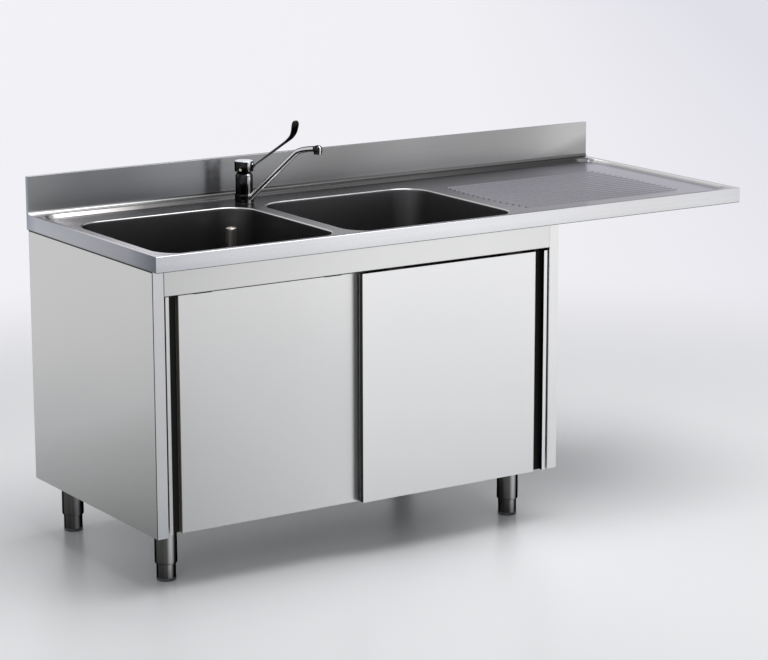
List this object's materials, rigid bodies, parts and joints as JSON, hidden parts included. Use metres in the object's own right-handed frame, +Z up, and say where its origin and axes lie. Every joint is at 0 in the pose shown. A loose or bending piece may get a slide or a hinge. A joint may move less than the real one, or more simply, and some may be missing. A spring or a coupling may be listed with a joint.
{
  "type": "kitchen sink unit",
  "caption": "Stainless sink unit with pressed bowls, a ribbed drainer over an open machine bay, sliding-door cabinet, long-lever mixer tap and overflow pipe.",
  "frame": {"origin": "on the floor under the centre of the worktop", "axes": "+X to the right along the worktop, +Y from the front to the upstand at the back, +Z up"},
  "size_m": [1.8, 0.7, 1.0706],
  "materials": {
    "worktop_steel": "satin brushed stainless steel",
    "bowl_steel": "polished stainless steel",
    "panel_steel": "fine brushed stainless steel",
    "plated_steel": "zinc-plated steel",
    "tube_steel": "satin stainless tube",
    "tap_chrome": "polished chrome plate on brass",
    "nylon": "moulded nylon",
    "rubber": "black moulded rubber"
  },
  "bodies": {
    "unit_frame": {"worktop": "worktop_steel", "left_bowl": "bowl_steel", "right_bowl": "bowl_steel", "left_side_panel": "panel_steel", "right_side_panel": "panel_steel", "left_front_post": "panel_steel", "right_front_post": "panel_steel", "back_panel": "panel_steel", "bottom_shelf": "panel_steel", "top_rail": "panel_steel", "front_stiffener": "plated_steel", "rear_stiffener": "plated_steel", "crossbar_1": "plated_steel", "crossbar_2": "plated_steel", "door_track": "plated_steel", "left_foot_channel": "plated_steel", "right_foot_channel": "plated_steel", "tap_nut": "plated_steel", "door_guide": "nylon", "left_drain_nut": "nylon", "right_drain_nut": "nylon", "left_drain_body": "tube_steel", "right_drain_body": "tube_steel", "left_drain_gasket": "rubber", "right_drain_gasket": "rubber", "tap_seal": "rubber", "tap_body": "tap_chrome", "cartridge_cover": "tap_chrome", "front_left_foot_sleeve": "tube_steel", "rear_left_foot_sleeve": "tube_steel", "front_right_foot_sleeve": "tube_steel", "rear_right_foot_sleeve": "tube_steel"},
    "right_door": {"right_door_skin": "panel_steel", "right_door_inner_panel": "panel_steel", "right_door_hanger_1": "plated_steel", "right_door_hanger_2": "plated_steel"},
    "left_door": {"left_door_skin": "panel_steel", "left_door_inner_panel": "panel_steel", "left_door_hanger_1": "plated_steel", "left_door_hanger_2": "plated_steel"},
    "right_door_roller_1": {"right_door_wheel_1": "nylon"},
    "right_door_roller_2": {"right_door_wheel_2": "nylon"},
    "left_door_roller_1": {"left_door_wheel_1": "nylon"},
    "left_door_roller_2": {"left_door_wheel_2": "nylon"},
    "tap_spout": {"spout": "tap_chrome", "aerator": "tap_chrome"},
    "tap_cartridge": {"cartridge_carrier": "nylon"},
    "tap_lever": {"lever_cap": "tap_chrome", "cartridge_stem": "tube_steel", "lever": "tap_chrome"},
    "overflow_pipe": {"standpipe": "tube_steel", "standpipe_plug": "rubber"},
    "front_left_foot": {"front_left_foot_tube": "tube_steel", "front_left_foot_pad": "rubber"},
    "rear_left_foot": {"rear_left_foot_tube": "tube_steel", "rear_left_foot_pad": "rubber"},
    "front_right_foot": {"front_right_foot_tube": "tube_steel", "front_right_foot_pad": "rubber"},
    "rear_right_foot": {"rear_right_foot_tube": "tube_steel", "rear_right_foot_pad": "rubber"}
  },
  "joints": [
    {"name": "right_door_slide", "type": "slide", "parent": "unit_frame", "child": "right_door", "axis": [-1, 0, 0], "range_m": [0, 0.505]},
    {"name": "left_door_slide", "type": "slide", "parent": "unit_frame", "child": "left_door", "axis": [1, 0, 0], "range_m": [0, 0.505]},
    {"name": "right_door_roller_1_spin", "type": "hinge", "parent": "right_door", "child": "right_door_roller_1", "pos_m": [0.1645, -0.3132, 0.77665], "axis": [0, 1, 0], "range_deg": [-2420, 0]},
    {"name": "right_door_roller_2_spin", "type": "hinge", "parent": "right_door", "child": "right_door_roller_2", "pos_m": [-0.2055, -0.3132, 0.77665], "axis": [0, 1, 0], "range_deg": [-2420, 0]},
    {"name": "left_door_roller_1_spin", "type": "hinge", "parent": "left_door", "child": "left_door_roller_1", "pos_m": [-0.755, -0.3007, 0.77665], "axis": [0, 1, 0], "range_deg": [0, 2420]},
    {"name": "left_door_roller_2_spin", "type": "hinge", "parent": "left_door", "child": "left_door_roller_2", "pos_m": [-0.385, -0.3007, 0.77665], "axis": [0, 1, 0], "range_deg": [0, 2420]},
    {"name": "spout_swivel", "type": "hinge", "parent": "unit_frame", "child": "tap_spout", "pos_m": [-0.314, 0.242, 0.855], "axis": [0, 0, 1], "range_deg": [-94, 46]},
    {"name": "lever_turn", "type": "hinge", "parent": "unit_frame", "child": "tap_cartridge", "pos_m": [-0.314, 0.242, 0.905], "axis": [0, 0, 1], "range_deg": [-45, 45]},
    {"name": "lever_lift", "type": "hinge", "parent": "tap_cartridge", "child": "tap_lever", "pos_m": [-0.314, 0.242, 0.905], "axis": [-0.8829, -0.4695, 0], "range_deg": [0, 20]},
    {"name": "overflow_pipe_lift", "type": "slide", "parent": "unit_frame", "child": "overflow_pipe", "axis": [0, 0, 1], "range_m": [0, 0.25]},
    {"name": "front_left_foot_height", "type": "slide", "parent": "unit_frame", "child": "front_left_foot", "axis": [0, 0, 1], "range_m": [-0.03, 0.015]},
    {"name": "rear_left_foot_height", "type": "slide", "parent": "unit_frame", "child": "rear_left_foot", "axis": [0, 0, 1], "range_m": [-0.03, 0.015]},
    {"name": "front_right_foot_height", "type": "slide", "parent": "unit_frame", "child": "front_right_foot", "axis": [0, 0, 1], "range_m": [-0.03, 0.015]},
    {"name": "rear_right_foot_height", "type": "slide", "parent": "unit_frame", "child": "rear_right_foot", "axis": [0, 0, 1], "range_m": [-0.03, 0.015]}
  ],
  "couplings": [
    {"joint": "right_door_roller_1_spin", "follows": "right_door_slide", "rad_per_m": -83.333},
    {"joint": "right_door_roller_2_spin", "follows": "right_door_slide", "rad_per_m": -83.333},
    {"joint": "left_door_roller_1_spin", "follows": "left_door_slide", "rad_per_m": 83.333},
    {"joint": "left_door_roller_2_spin", "follows": "left_door_slide", "rad_per_m": 83.333}
  ]
}
